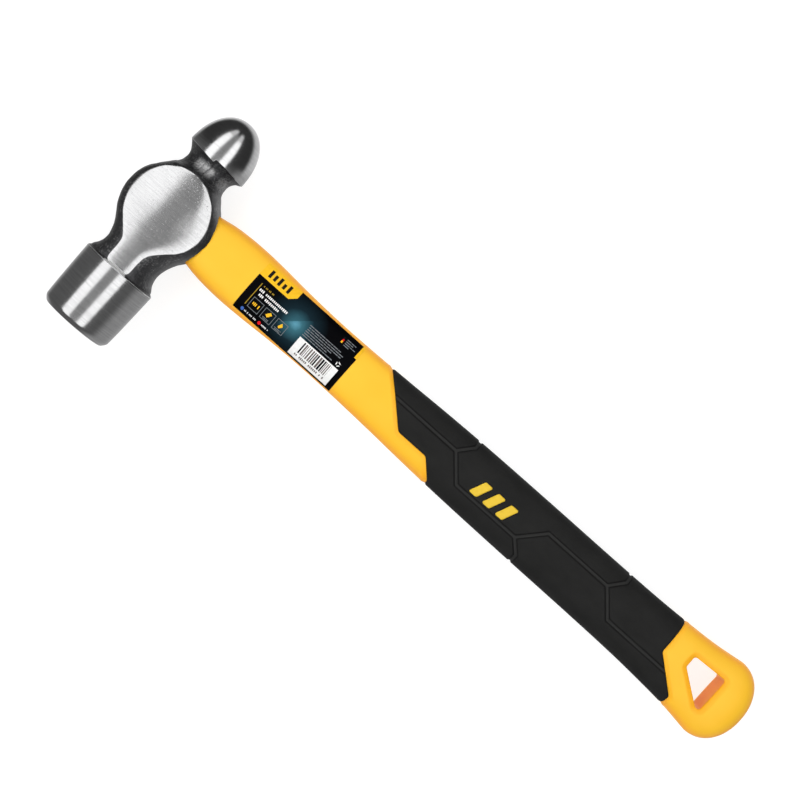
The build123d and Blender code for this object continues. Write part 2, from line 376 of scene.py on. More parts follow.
def forged_steel():
    """The parts left as forged and shot-blasted: dark, matt and full of small pits, with brighter flecks, brighter
    still from the neck on, and painted highlights on the neck's facets.
    """
    n = Nodes("forged_steel", Metallic=1.0)
    pits = n.noise(1.15, rough=0.75)
    grain = n.noise(2.3)
    x, y, _ = n.axes()
    bright = n.plus(n.span(n.noise(0.22, 2.0, 0.5), 0.42, 0.6, 0.25, 1.0), n.span(y, 19.0, 23.0, 0.0, 0.2))
    skin = n.colours(n.times(n.span(pits, 0.44, 0.68), bright), (0.0, (0.066, 0.066, 0.069)),
                     (0.45, (0.12, 0.12, 0.122)), (1.0, (0.30, 0.30, 0.30)))
    # Painted highlights: lighter patches across the neck where its facets catch the light.
    across = n.plus(n.band(x, (-6.0, -4.8), (3.8, 5.0)), n.band(x, (7.4, 8.8, 0.0, 0.8), (11.0, 12.4)))
    neck_painted_highlight = n.times(n.band(y, (21.6, 23.4), (26.6, 28.4)), across, n.span(pits, 0.35, 0.6, 0.35, 0.9))
    return n.finish(n.mix(neck_painted_highlight, skin, (0.42, 0.42, 0.42)), n.over(grain, 0.40, 0.56),
                    (pits, 0.14, 0.8), (grain, 0.08, 0.8))


def yellow_plastic():
    """The moulded jacket: satin with a fine spark texture, with painted shade, a deeper orange, down its sides and in
    its bevels.
    """
    n = Nodes("yellow_plastic", Specular_IOR_Level=0.25)
    cloud = n.noise((0.03, 0.05, 0.05), rough=0.5)
    spark = n.noise(5.0, 2.0, 0.6)
    flow = n.noise((0.02, 0.4, 0.4), 2.0, 0.5)
    top = n.colours(cloud, (0.3, (0.955, 0.522, 0.024)), (0.7, (0.985, 0.560, 0.033)))
    # Painted shade in the lip and round the hang hole, as a deeper orange.
    bevel_shaded = n.mix(n.attribute("painted_bevel_shade"), top, (0.985, 0.44, 0.013))
    # Painted shade down the sides, as a deeper orange.
    return n.finish(n.mix(n.attribute("side"), bevel_shaded, (1.0, 0.415, 0.014)),
                    n.plus(n.over(spark, 0.38, 0.48), n.over(flow, 0.0, 0.05)), (spark, 0.02, 0.35))


def uneven(name, gloss, scale, dark, light, rough, *bump):
    """A plain finish, a little uneven in colour and in roughness, with a bump of a distance and a strength."""
    n = Nodes(name, Specular_IOR_Level=gloss)
    cloud = n.noise(scale, rough=0.6)
    return n.finish(n.colours(cloud, (0.3, dark), (0.7, light)), n.over(cloud, *rough), *((cloud, *b) for b in bump))


def mark_plastic():
    """The plain bars that show through the grip: a greener, flatter yellow."""
    return uneven("mark_plastic", 0.3, 0.5, (0.76, 0.50, 0.026), (0.81, 0.55, 0.034), (0.45, 0.55), (0.03, 0.4))


def black_rubber():
    """The overmoulded grip: soft black rubber with a fine matt grain, and grooves with painted shade on their walls and
    painted light on their floors.
    """
    n = Nodes("black_rubber", Specular_IOR_Level=0.17)
    grain = n.noise(4.2)
    cloud = n.noise((0.06, 0.1, 0.1), rough=0.6)
    skin = n.colours(cloud, (0.3, (0.0088, 0.0088, 0.0085)), (0.7, (0.0132, 0.0132, 0.0127)))
    groove = n.attribute("groove_mm")
    # Painted light: the grooves' floors a little lighter.
    bottom = n.span(groove, 0.55, 0.75, 1.0, 0.0, smooth=True)
    # Painted shade: the grooves' walls darker.
    wall = n.band(groove, (0.6, 0.85, 0.0, 0.75), (1.1, 1.4), smooth=True)
    return n.finish(n.mix(wall, n.mix(bottom, skin, (0.021, 0.021, 0.0203)), (0.0025, 0.0025, 0.0025)),
                    n.over(grain, 0.62, 0.82), (n.span(groove, 0.62, 1.12, smooth=True), 0.35, 0.7),
                    (grain, 0.06, 0.5))


def printed(name, colour):
    """Printing ink on film."""
    return uneven("print_" + name, 0.12, 0.8, tuple(c * 0.88 for c in colour), colour, (0.45, 0.53))


def label_film():
    """The label's black film, with a soft teal glow behind a horizon printed at its middle."""
    n = Nodes("label_film", Specular_IOR_Level=0.03)
    place = n.place()
    away = n.vector("DISTANCE", place, (79.0, -0.5, 12.0))
    across = n.vector("DOT_PRODUCT", place, (0.6665, -0.7455, 0.0))
    grain = n.noise(0.25, rough=0.6)
    glow = n.times(n.span(away, 0.0, 16.0, 1.0, 0.0), n.span(across, 51.5, 51.8, 0.84, 1.0),
                   n.span(grain, 0.2, 0.8, 0.96, 1.04))
    film = n.colours(glow, (0.0, (0.0008, 0.0009, 0.0016)), (0.45, (0.006, 0.018, 0.026)),
                     (0.8, (0.038, 0.135, 0.175)), (1.0, (0.12, 0.35, 0.46)))
    return n.finish(film, n.over(grain, 0.40, 0.50))


def epoxy():
    """The cast epoxy round the bar's end: black, glossy and a little wavy."""
    n = Nodes("epoxy", Specular_IOR_Level=0.5)
    dust = n.noise(1400, row=True)
    return n.finish(n.colours(dust, (0.3, (0.030, 0.027, 0.024)), (0.8, (0.075, 0.070, 0.060))),
                    n.over(dust, 0.16, 0.34), (n.noise(260, 2.0, 0.5, row=True), 0.5, 0.6))


def fibreglass():
    """The bar's sawn end: ends of glass rovings in a pale resin."""
    n = Nodes("fibreglass")
    cells = n.add("TexVoronoi")
    cells.inputs["Scale"].default_value = 1.0
    n.join(n.place((1500, 2600, 2600), row=True), cells.inputs["Vector"])
    tow = n.noise((40, 500, 500), rough=0.6, row=True)
    ends = n.colours(cells.outputs["Distance"], (0.1, (0.86, 0.82, 0.66)), (0.7, (0.62, 0.57, 0.42)))
    return n.finish(n.mix(n.span(tow, 0.35, 0.65, 0.0, 0.6), ends, (0.55, 0.50, 0.36)),
                    n.over(tow, 0.45, 0.7), (cells.outputs["Distance"], 0.15, 0.5))


HEAD_STEELS = [polished_steel(), ground_steel(), forged_steel()]
POLISHED, GROUND, FORGED = range(3)

# The head: rings across its axis, from the striking face to the ball's tip
CROWN_R, CROWN_EXTRA, CROWN_EXTRA_Y, CROWN_EXTRA_SPAN = 78.0, 34.0, -11.5, 6.5
ROLL_SPAN, ROLL_WIDTHS, ROLL_SLOPES = (0.3, 0.8), (6.7, 18.0, 20.3), (0.165, 0.078, 0.02)
EDGE_ROUND, END_ROUND, END_ROUND_Y = 0.45, 1.5, (14.0, 18.0)
LEAST_FLAT = 2.4
POLL_R, POLL_FACE_R, POLL_RINGS = 19.35, 18.5, (0.02, 3.0, 7.0, 11.0, 14.5)
FACE_Y, FACE_EDGE_R, FACE_EDGE_Y = -69.7, 16.5, -67.2
SHOULDER_Y, SHOULDER_BEVEL, SHOULDER_X, SHOULDER_Z = -36.2, 0.85, 6.5, 10
BALL_R, BALL_Y, BALL_HEIGHT, BALL_P, BALL_RINGS = 16.3, 31.4, 23.6, 2.15, 46
TOP_POINTS, SIDE_POINTS = 14, 34
BARREL_STEP = 2.2
# y and r along the turned parts, and how far each corner is rounded
BARREL = (
    (FACE_Y, 15.2, 0), (FACE_Y, FACE_EDGE_R, 0.7), (FACE_EDGE_Y, POLL_FACE_R, 0.9), (-60.0, 18.85, 2.0),
    (-46.0, 19.2, 2.0), (SHOULDER_Y - SHOULDER_BEVEL, POLL_R, 0.3),
    (SHOULDER_Y, POLL_R - SHOULDER_BEVEL, 0.12), (SHOULDER_Y + 0.02, 18.35, 0),
)
BALL_RIM = ((31.3, 15.95, 0), (BALL_Y, BALL_R, 0.18), (32.2, BALL_R * 0.9995, 0))
# Start, end and step in y of the rings between them
BODY_RINGS = ((-36.15, -34.0, 0.2), (-33.95, 17.0, 0.6), (17.0, 22.0, 0.25), (22.0, 31.2, 0.4))
# y, half of the width, half of the ground flat's width, squareness
GROUND_SECTIONS = (
    (-36.2, 18.35, 5.5, 2.0), (-34.8, 18.0, 6.4, 2.2), (-32.9, 16.8, 6.7, 2.4),
    (-30.4, 15.8, 6.7, 2.5), (-27.5, 15.5, 6.8, 2.6), (-24.0, 16.2, 7.4, 2.8),
    (-20.5, 17.5, 9.6, 3.0), (-17.0, 19.4, 12.7, 3.4), (-13.5, 21.3, 15.7, 3.8),
    (-9.4, 23.1, 18.1, 4.0), (-4.7, 24.4, 19.8, 4.0), (0.0, 24.7, 20.3, 4.0),
    (4.7, 23.9, 19.8, 4.0), (9.4, 21.9, 18.0, 4.0), (14.0, 18.5, 14.7, 3.9),
    (17.0, 16.1, 11.1, 3.5), (18.9, 14.8, 7.6, 3.0),
)
SQUARENESS_SHARE = 0.6
# y, half of the width, half of the thickness
NECK_SECTIONS = (
    (20.4, 13.7, 17.2), (22.0, 12.9, 14.8), (23.8, 12.5, 13.1), (25.8, 12.4, 12.4),
    (27.6, 12.9, 12.9), (29.2, 13.9, 14.0), (30.5, 15.2, 15.2), (31.4, 16.05, 16.05),
)
# y, how much narrower the body is than that towards the handle, and away from it, and how much
# wider the ground flat is towards the handle
SIDE_CHANGES = (
    (-36.2, 0.3, 0.1, 0.0), (-33.0, 0.65, 0.6, 0.0), (-29.0, 0.65, 0.6, 0.0), (-25.0, 0.85, 0.6, 0.0),
    (-21.0, 1.0, 0.5, 0.1), (-17.0, 1.1, 0.35, 0.4), (-13.5, 0.4, 0.0, 1.0), (-9.4, -0.3, 0.0, 1.3),
    (-4.7, -0.9, 0.0, 0.9), (0.0, -1.4, 0.0, 0.5), (4.7, -0.7, 0.0, 0.2), (9.4, 0.0, 0.0, 0.0),
    (14.0, 0.8, 0.0, 0.0), (17.0, 1.15, 0.0, 0.0), (20.0, 1.2, 0.0, 0.0), (22.0, 1.0, 0.0, 0.0),
    (24.0, 0.8, 0.0, 0.0), (27.0, 0.6, 0.1, 0.0), (30.0, 0.3, 0.2, 0.0), (31.4, 0.0, 0.0, 0.0),
)
FUNNEL_NARROWER, FUNNEL_Y = 0.7, (18.0, 24.0)


def crown(x, y):
    """The ground surface's height: domed, and rolled over towards the handle, most where it is narrow."""
    wide = smooth_curve(GROUND_SECTIONS, y)[1]
    start, end = ROLL_SPAN[0] * wide, ROLL_SPAN[1] * wide
    t = np.clip((x - start) / (end - start), 0, 1)
    run = (end - start) * (t**3 - t**4 / 2) + np.maximum(x - end, 0)
    slope = np.interp(wide, ROLL_WIDTHS, ROLL_SLOPES)
    radius = CROWN_R + CROWN_EXTRA * np.exp(-(((y - CROWN_EXTRA_Y) / CROWN_EXTRA_SPAN) ** 2))
    return CHEEK_Z - x**2 / (2 * radius) - slope * run


def body_table(side=1):
    """y, half width, half thickness and squareness of the body between the poll and the ball, on one side."""
    rows = []
    for y, half_x, *rest in GROUND_SECTIONS + NECK_SECTIONS:
        right, left, wider = [float(v) for v in smooth_curve(SIDE_CHANGES, y)]
        half_x -= right if side > 0 else left
        if len(rest) == 1:
            rows.append((y, half_x, rest[0], 2.0))
            continue
        flat, p = rest
        flat += wider if side > 0 else -FUNNEL_NARROWER * ramp(-y, *FUNNEL_Y)
        p = 2 + (p - 2) * SQUARENESS_SHARE
        rows.append((y, half_x, float(crown(side * flat, y)) / (1 - (flat / half_x) ** p) ** (1 / p), p))
    return rows


def superellipse(half_x, half_y, p, angle):
    return half_x * np.cos(angle) ** (2 / p), half_y * np.sin(angle) ** (2 / p)


def along(x, y):
    """How far along the line through these points each of them is."""
    return np.concatenate([[0], np.cumsum(np.hypot(np.diff(x), np.diff(y)))])


def quarter_ring(half_x, half_z, p, side, y, soft):
    """A quarter of a ring, from the middle of the top to the side, as x, z and where the flat ends."""
    x, z = superellipse(half_x, half_z, p, np.linspace(math.pi / 2, 0, 900))
    ground = 0.0
    if side:
        cap = crown(side * x, y)
        if (z > cap).any():
            ground = float(x[z > cap].max())
        near = np.maximum(soft - abs(z - cap), 0) / soft
        z = np.minimum(z, cap) - near**2 * soft / 4
    length = along(x, z)
    at_edge = np.interp(max(LEAST_FLAT, ground), x, length)
    top = at_edge * np.sin(np.linspace(0, math.pi / 2, TOP_POINTS + 1))
    step = np.linspace(0, 1, SIDE_POINTS + 1)[1:]
    at = np.concatenate([top, at_edge + (length[-1] - at_edge) * (0.35 * step**2 + 0.65 * step)])
    return np.interp(at, length, x), np.interp(at, length, z), ground


def whole_ring(right_half, left_half, y=None, soft=EDGE_ROUND):
    """The ring as x and z, anticlockwise from the side at +X, and where the flat ends at each side. Each
    half is its half width, half thickness and squareness. A ring with no y is turned, and has no flat."""
    side = 0 if y is None else 1
    x, z, right = quarter_ring(*right_half, side, y, soft)
    left_x, left_height, left = quarter_ring(*left_half, -side, y, soft)
    top_x = np.concatenate([x[::-1], -left_x[1:]])
    top_z = np.concatenate([z[::-1], left_height[1:]])
    ring_x = np.concatenate([top_x, top_x[-2:0:-1]])
    return ring_x, np.concatenate([top_z, -top_z[-2:0:-1]]), (right, left)


def turned_profile(corners, steps=3):
    """y and r along a turned outline, its corners (y, r, rounding) rounded."""
    rows = [corners[0][:2]]
    for before, corner, after in zip(corners, corners[1:], corners[2:]):
        c = Vector(corner[:2])
        back = (Vector(before[:2]) - c).normalized() * corner[2]
        on = (Vector(after[:2]) - c).normalized() * corner[2]
        for t in np.arange(steps + 1) / steps:
            rows.append(tuple((c + back) * (1 - t) ** 2 + c * 2 * t * (1 - t) + (c + on) * t**2))
    return rows + [corners[-1][:2]]


RIM_STEP, RIM_STEP_X, RIM_TILT = 1.15, 1.4, 0.045
PARTING_DEPTH, PARTING_HALF = 0.5, 0.32
RIDGE_HEIGHT, RIDGE_Y, RIDGE_HALF = 0.25, -35.35, 0.38
SKIN_WAVES, SKIN_WAVE, SKIN_DEPTH, SKIN_SEED = 26, 0.9, 0.016, 7
# Where in y the rim, the neck's marks and the uneven skin start and end, each over a run
RIM_Y, NECK_Y, SKIN_Y = ((29.0, 31.2), (31.9, 36.0)), ((21.6, 23.2), (30.6, 31.3)), ((-35.8, -34.0), (30.0, 31.0))


def forging_marks(points):
    """What the dies left: the stepped rim of the ball, the parting line down the neck, and uneven skin."""
    x, y, z = points.T
    facing = ramp(np.abs(z), 3.0, 9.0)
    step = hump(x, (-16.0, 0.4), (RIM_STEP_X - 0.25, RIM_STEP_X + 0.25)) - 0.35 * hump(x, (1.2, 2.0), (6, 14))
    moved = y - (RIM_STEP * step * facing + RIM_TILT * x) * hump(y, *RIM_Y)
    beside = x - 1.3 - (y - 22.9) * 0.17
    dent = PARTING_DEPTH * (1 - ramp(np.abs(beside), 0.1, 2 * PARTING_HALF))
    dent += 0.25 * hump(beside, (0.0, 0.5), (1.0, 7.0))
    dent += 0.3 * (1 - ramp(np.abs(beside + 3.7), 0.1, 0.7)) * (1 - ramp(y, 26.5, 28.0))
    r = np.maximum(np.hypot(x, z), 1e-6)
    shrink = 1 - dent * hump(y, *NECK_Y) * facing / r
    skin = np.zeros_like(x)
    waves = np.random.RandomState(SKIN_SEED)
    for _ in range(SKIN_WAVES):
        kx, ky, kz = waves.normal(0, SKIN_WAVE, 3)
        skin += np.sin(kx * x + ky * y + kz * z + waves.uniform(0, 6.28))
    forged = hump(y, *SKIN_Y) * ramp(np.abs(x), 4.0, 8.0)
    ground = np.abs(z) > crown(x, y) - 0.35
    shrink -= np.where(ground & (y < 20.2), 0.0, SKIN_DEPTH * np.abs(skin) * forged) / r
    ridge = RIDGE_HEIGHT * np.exp(-(((y - RIDGE_Y) / RIDGE_HALF) ** 2)) * (1 - ramp(np.abs(x), 6.5, 9.0))
    return np.stack([x * shrink, moved, z * shrink + np.sign(z) * ridge], -1)


def make_head():
    """The head without its eye, its faces polished, ground or forged."""
    rings, grounds, is_body = [], [], []

    def add(at, *halves, **how):
        x, z, ground = whole_ring(*halves, **how)
        rings.append(np.stack([x, np.full_like(x, at), z], -1))
        grounds.append(ground)
        is_body.append(bool(how))

    def turned(y, r):
        add(y, (r, r, 2.0), (r, r, 2.0))

    for r in POLL_RINGS:
        turned(FACE_Y, r)
    barrel = turned_profile(BARREL)
    for (y0, r0), (y1, r1) in zip(barrel, barrel[1:]):
        steps = max(1, round((y1 - y0) / BARREL_STEP))
        for k in range(steps):
            turned(y0 + (y1 - y0) * k / steps, r0 + (r1 - r0) * k / steps)
    stations = np.concatenate([np.arange(*run) for run in BODY_RINGS])
    halves = [np.stack(smooth_curve(body_table(side), stations), -1) for side in (1, -1)]
    for half in halves:
        half[:, 2] = np.maximum(half[:, 2], 2.0)
    for where, right_half, left_half in zip(stations, *halves):
        soft = EDGE_ROUND + (END_ROUND - EDGE_ROUND) * ramp(where, *END_ROUND_Y)
        add(where, right_half, left_half, y=where, soft=soft)
    for y, r in turned_profile(BALL_RIM):
        turned(y, r)
    for r, y in zip(*superellipse(BALL_R, BALL_HEIGHT, BALL_P, np.linspace(0.035, 1, BALL_RINGS)[:-1] * math.pi / 2)):
        turned(BALL_Y + y, r)
    turned(BALL_Y + BALL_HEIGHT - 1e-4, 0.03)

    count, last = len(rings[0]), len(rings) - 1
    points = forging_marks(np.concatenate(rings))
    quads = grid_quads(len(rings), count)[:, ::-1]
    row = np.repeat(np.arange(last), count)
    x, y, z = points[quads].mean(1).T
    grounds, is_body = np.array(grounds), np.array(is_body)
    ground = np.minimum(grounds[row], grounds[row + 1])
    ground = np.where(x > 0, ground[:, 0], ground[:, 1])
    flat = (ground > 0.5) & (np.abs(x) < ground + 0.05)
    material = np.where(is_body[row] | is_body[row + 1], np.where(flat, GROUND, FORGED), POLISHED)
    beside = (np.abs(x) > SHOULDER_X) | (np.abs(z) < SHOULDER_Z)
    material[(y > SHOULDER_Y - 0.55) & (y < SHOULDER_Y + 0.3) & beside] = FORGED
    caps = [np.arange(count)[None, :], (np.arange(count)[::-1] + last * count)[None, :]]
    return mesh_object("head_forging", points, [quads] + caps, HEAD_STEELS, [material, np.zeros(1), np.zeros(1)])


# x, half width and half thickness of the eye
EYE_SECTIONS = ((-28.3, 12.6, 10.2), (2.8, 11.1, 8.5), (28.3, 12.1, 9.4))
EYE_SQUARENESS, EYE_RINGS, EYE_POINTS = 2.2, 24, 96


def section(half_y, half_z, p, count, x):
    """A superellipse across the handle, its points evenly spaced along it."""
    y, z = superellipse(half_y, half_z, p, np.linspace(0, math.pi / 2, 400))
    length = along(y, z)
    at = np.linspace(0, length[-1], count // 4 + 1)
    y, z = np.interp(at, length, y), np.interp(at, length, z)
    y, z = np.concatenate([y, -y[-2::-1]]), np.concatenate([z, z[-2::-1]])
    y, z = np.concatenate([y, y[-2:0:-1]]), np.concatenate([z, -z[-2:0:-1]])
    return np.stack([np.full_like(y, x), y, z], -1)


def cut_eye(head):
    """Cuts the eye, which narrows to the middle, right through the head."""
    at, half_ys, half_zs = np.array(EYE_SECTIONS).T
    rings = []
    for x in np.linspace(at[0], at[-1], EYE_RINGS):
        half_y, half_z = [np.polyval(np.polyfit(at, halves, 2), x) for halves in (half_ys, half_zs)]
        rings.append(section(half_y, half_z, EYE_SQUARENESS, EYE_POINTS, x))
    ring = np.arange(EYE_POINTS)
    faces = [grid_quads(EYE_RINGS, EYE_POINTS), ring[None, ::-1], ring[None, :] + (EYE_RINGS - 1) * EYE_POINTS]
    cutter = mesh_object("eye_cutter", np.concatenate(rings), faces, [HEAD_STEELS[FORGED]])
    cut = head.modifiers.new("eye", "BOOLEAN")
    cut.operation, cut.solver, cut.material_mode, cut.object = "DIFFERENCE", "EXACT", "TRANSFER", cutter
    depsgraph = bpy.context.evaluated_depsgraph_get()
    made = bpy.data.meshes.new_from_object(
        head.evaluated_get(depsgraph), preserve_all_data_layers=True, depsgraph=depsgraph)
    whole = head.data
    head.modifiers.clear()
    head.data = made
    bpy.data.meshes.remove(whole)
    bpy.data.objects.remove(cutter)


head = make_head()
cut_eye(head)
give(head, "root", "head")

# The handle: one grid of points over its whole outer form. The grip, the jacket round it, the
# mark's bars and the hang hole are all cut from that grid, along lines the points are moved onto.
HANDLE_SQUARENESS = 2.6
HANDLE_SECTIONS = (
    (8, 11.9, 10.6), (19, 13.5, 11.0), (29, 15.2, 11.4), (43, 15.95, 11.7), (57, 15.6, 11.6),
    (73, 14.7, 11.2), (92, 14.1, 10.9), (113, 14.25, 10.95), (137, 14.9, 11.3), (161, 15.8, 11.8),
    (188, 16.4, 12.1), (226, 16.7, 12.3), (264, 16.8, 12.3), (292, 17.15, 12.2), (311, 17.95, 12.15),
    (326, 19.0, 12.1), (341, 21.0, 12.1),
)
END_X, END_PLAN_SQUARENESS, END_SIDE_SQUARENESS = 357.25, 2.2, 3.4
LAST_X = 341.0
GRIP_THICK = 2.3
GRIP_OUTLINE = (
    (126, 28), (126.2, 14.8), (148, -6.1), (165, -6.1), (173.2, -14.7), (173.6, -28), (324.2, -28),
    (323.9, -14.3), (307.2, -0.3), (307.2, 28),
)
GRIP_CORNER_R = 2.4
GROOVE_FLOOR, GROOVE_TOP, GROOVE_DEPTH = 0.65, 1.2, 0.6
LIP_WIDTH, LIP_DROP, LIP_RIDGE, LIP_RIDGE_RUN = 1.9, 0.55, 0.12, 1.3
GRIP_ROUND, GRIP_DROP = 0.9, 0.55
WINDOW_ROUND, WINDOW_DROP, MARK_DROP = 0.7, 0.12, 0.1
HOLE_BEVEL, HOLE_DROP = 2.2, 1.0
# How strongly the bevels take their painted shade, how softly it ends, and the slopes the painted shade down the sides
# runs over
LIP_PAINTED_SHADE, RIM_PAINTED_SHADE, LIP_SHADE_FADE, RIM_SHADE_FADE, SIDE_SHADE_SLOPES = 0.6, 0.85, 0.35, 0.5, (0.32, 0.94)
GROOVE_HIGH_Y, GROOVE_LOW_Y, GROOVE_START_X, GROOVE_END_X = 5.4, -6.5, 115, 330
BEND_X, BEND_PITCH, BEND_RUN, BEND_COUNT = 173.7, 47.0, 10.7, 3
BRANCH_RUN, BRANCH_Y, BRANCH_REACH = 6.2, 12.7, 30
MARK_X, MARK_Y, MARK_WIDTH, MARK_HEIGHT = 202.4, -0.4, 4.6, 8.4
MARK_SLANT, MARK_PITCH, MARK_COUNT = 3.6, 8.0, 3
MARK_CORNER_R, MARK_INSIDE = 0.6, 3.0
HOLE_OUTLINE = ((320.3, 8.4), (338.6, 9.3), (338.4, -9.6), (335.8, -9.6), (320.3, 1.9))
HOLE_CORNER_R = 1.3
CORE_HALF_Y, CORE_HALF_Z, CORE_SQUARENESS, CORE_END_X = 7.5, 4.9, 3.0, 312.0
POCKET_GAP, SPIGOT_DEPTH = 0.03, 0.5
# The grid: points round it, and its rows, close together from the label's end on
AROUND, TYPICAL_RATIO = 160, 1.35
HEAD_X, FRONT_X, FINE_X, TIP_SHORT = 23.0, 30.0, 117.6, 0.002
FRONT_ROWS, COARSE_STEP, FINE_STEP, END_ROWS = 4, 1.6, 0.65, 25
HOLE_LEVELS, BORE_RINGS, BORE_START_X = 14, 40, 30


def handle_size(x):
    """Half width and half thickness at x, over the body and the rounded end."""
    x = np.asarray(x, float)
    half_y, half_z = smooth_curve(HANDLE_SECTIONS, np.minimum(x, LAST_X))
    u = np.clip((x - LAST_X) / (END_X - LAST_X), 0, 1)
    plan, side = [(1 - u**p) ** (1 / p) for p in (END_PLAN_SQUARENESS, END_SIDE_SQUARENESS)]
    return half_y * plan, half_z * side


UNIT = section(TYPICAL_RATIO, 1.0, HANDLE_SQUARENESS, AROUND, 0.0)[:, 1:] / (TYPICAL_RATIO, 1.0)


def handle_point(x, t):
    """The point at x and at the position t around the handle, which may lie between the section's points."""
    half_y, half_z = handle_size(x)
    ring, t = np.concatenate([UNIT, UNIT[:1]]), np.mod(t, AROUND)
    unit_y, unit_z = [np.interp(t, np.arange(AROUND + 1), ring[:, k]) for k in (0, 1)]
    return np.stack([x, half_y * unit_y, half_z * unit_z], -1)


def groove_lines():
    """The grip's grooves: one that steps from side to side, and a branch at each step."""
    heights = (GROOVE_HIGH_Y, GROOVE_LOW_Y)
    main, lines = [(GROOVE_START_X, GROOVE_HIGH_Y)], []
    for i in range(BEND_COUNT):
        x = BEND_X + i * BEND_PITCH
        here, after = heights[i % 2], heights[(i + 1) % 2]
        main += [(x, here), (x + BEND_RUN, after)]
        out = math.copysign(1, here)
        lines.append([(x, here), (x + BRANCH_RUN, out * BRANCH_Y), (x + BRANCH_RUN + 1, out * BRANCH_REACH)])
    return [main + [(GROOVE_END_X, main[-1][1])]] + lines


def groove_field(p):
    return np.min([line_distance(p, line) for line in groove_lines()], axis=0)


def mark_field(p):
    """Signed distance to the mark's bars, positive inside them, on the upper side only."""
    low, high = MARK_Y - MARK_HEIGHT / 2, MARK_Y + MARK_HEIGHT / 2
    distance = np.full(p.shape[:-1], -99.0)
    for i in range(MARK_COUNT):
        foot = MARK_X + (i - (MARK_COUNT - 1) / 2) * MARK_PITCH - MARK_WIDTH / 2 - MARK_SLANT / 2
        head = foot + MARK_SLANT
        outline = [(foot, low), (foot + MARK_WIDTH, low), (head + MARK_WIDTH, high), (head, high)]
        distance = np.maximum(distance, inside_distance(p, rounded(outline, MARK_CORNER_R)))
    return np.where(p[..., 2] > 0, distance, -99.0)


GRIP_EDGE = rounded(GRIP_OUTLINE, GRIP_CORNER_R)
HOLE_EDGE = rounded(HOLE_OUTLINE, HOLE_CORNER_R)


def seam_field(p):
    """Positive where the surface is the grip's, negative where it is the jacket's."""
    return np.minimum(inside_distance(p, GRIP_EDGE), -mark_field(p))


def moved_onto(x, t, fields, free=True):
    """Each free grid point moved along an edge to the nearest place where a field is zero, and which were."""
    best = np.where(np.full(x.shape, free), 1.0, -1.0)
    shift, moved = [np.zeros(x.shape), np.zeros(x.shape)], []
    for field in fields:
        moved.append(np.zeros(x.shape, bool))
        for axis, step in ((0, 1), (0, -1), (1, 1), (1, -1)):
            other = np.roll(field, -step, axis)
            if axis == 0:
                edge = -1 if step == 1 else 0
                other[edge] = field[edge]
            with np.errstate(divide="ignore", invalid="ignore"):
                share = field / (field - other)
            found = (field * other < 0) & (share <= 0.5) & (share < best)
            best = np.where(found, share, best)
            for k in (0, 1):
                shift[k] = np.where(found, share * step if k == axis else 0.0, shift[k])
            moved[-1] |= found
    forward = np.diff(x, axis=0, append=x[-1:])
    backward = np.diff(x, axis=0, prepend=x[:1])
    return x + np.where(shift[0] > 0, forward, backward) * shift[0], t + shift[1], moved


def jacket_start(y, z):
    """Where the jacket starts at (y, z): a little inside the head, whose underside it meets."""
    half_x, half_z, p = smooth_curve(body_table(), y)
    return half_x * (1 - np.clip(abs(z) / half_z, 0, 0.999) ** p) ** (1 / p) - SPIGOT_DEPTH


def handle_grid():
    """Grid positions x and t, moved onto the seam, the marks and the hole, with the fields' signs."""
    front, coarse = np.linspace(HEAD_X, FRONT_X, FRONT_ROWS + 1)[:-1], np.arange(FRONT_X, FINE_X, COARSE_STEP)
    fine = np.arange(FINE_X, LAST_X, FINE_STEP)
    end = LAST_X + (END_X - LAST_X) * np.sin(np.linspace(0, math.pi / 2, END_ROWS + 1)[:-1])
    stations = np.concatenate([front, coarse, fine, end, [END_X - TIP_SHORT]])
    x = np.repeat(stations[:, None], AROUND, 1)
    t = np.repeat(np.arange(AROUND, dtype=float)[None, :], len(stations), 0)
    first = handle_point(x[0], t[0])
    start = jacket_start(first[:, 1], first[:, 2])
    for row in range(FRONT_ROWS):
        x[row] = start + (FRONT_X - start) * row / FRONT_ROWS
    p = handle_point(x, t)
    signs = [seam_field(p), inside_distance(p, HOLE_EDGE)]
    x, t, moved = moved_onto(x, t, signs)
    seam, hole = [np.where(at, 0.0, sign) for at, sign in zip(moved, signs)]
    p = handle_point(x, t)
    edges = (inside_distance(p, GRIP_EDGE) + LIP_WIDTH, inside_distance(p, HOLE_EDGE) + HOLE_BEVEL,
             groove_field(p) - GROOVE_TOP)
    x, t, _ = moved_onto(x, t, edges, ~(moved[0] | moved[1]))
    return handle_point(x, t), seam, hole


def grid_normals(p):
    around = np.roll(p, -1, 1) - np.roll(p, 1, 1)
    normal = np.cross(around, np.gradient(p, axis=0))
    normal /= np.maximum(np.linalg.norm(normal, axis=-1, keepdims=True), 1e-9)
    outward = np.sum(normal[:, :, 1:] * p[:, :, 1:], -1)
    normal *= np.where(outward[..., None] < 0, -1, 1)
    normal[-1] = (1, 0, 0)
    return normal


base, seam_sign, hole_sign = handle_grid()
ROWS = len(base)
COUNT = ROWS * AROUND
normals = grid_normals(base)
seam_at, groove_at = seam_field(base), groove_field(base)
grip_at, hole_at = [inside_distance(base, outline) for outline in (GRIP_EDGE, HOLE_EDGE)]


def jacket_height():
    """How far the jacket's surface stands off the plain form, in mm."""
    away = np.abs(grip_at)
    ridge = LIP_RIDGE * np.clip(1 - (away - LIP_WIDTH) / LIP_RIDGE_RUN, 0, 1)
    lip = np.where(away < LIP_WIDTH, LIP_RIDGE - (LIP_DROP + LIP_RIDGE) * (1 - away / LIP_WIDTH), ridge)
    near_hole = np.clip(1 - np.abs(hole_at) / HOLE_BEVEL, 0, 1)
    return np.where(grip_at > 0.5, -MARK_DROP, lip) - HOLE_DROP * near_hole**1.15


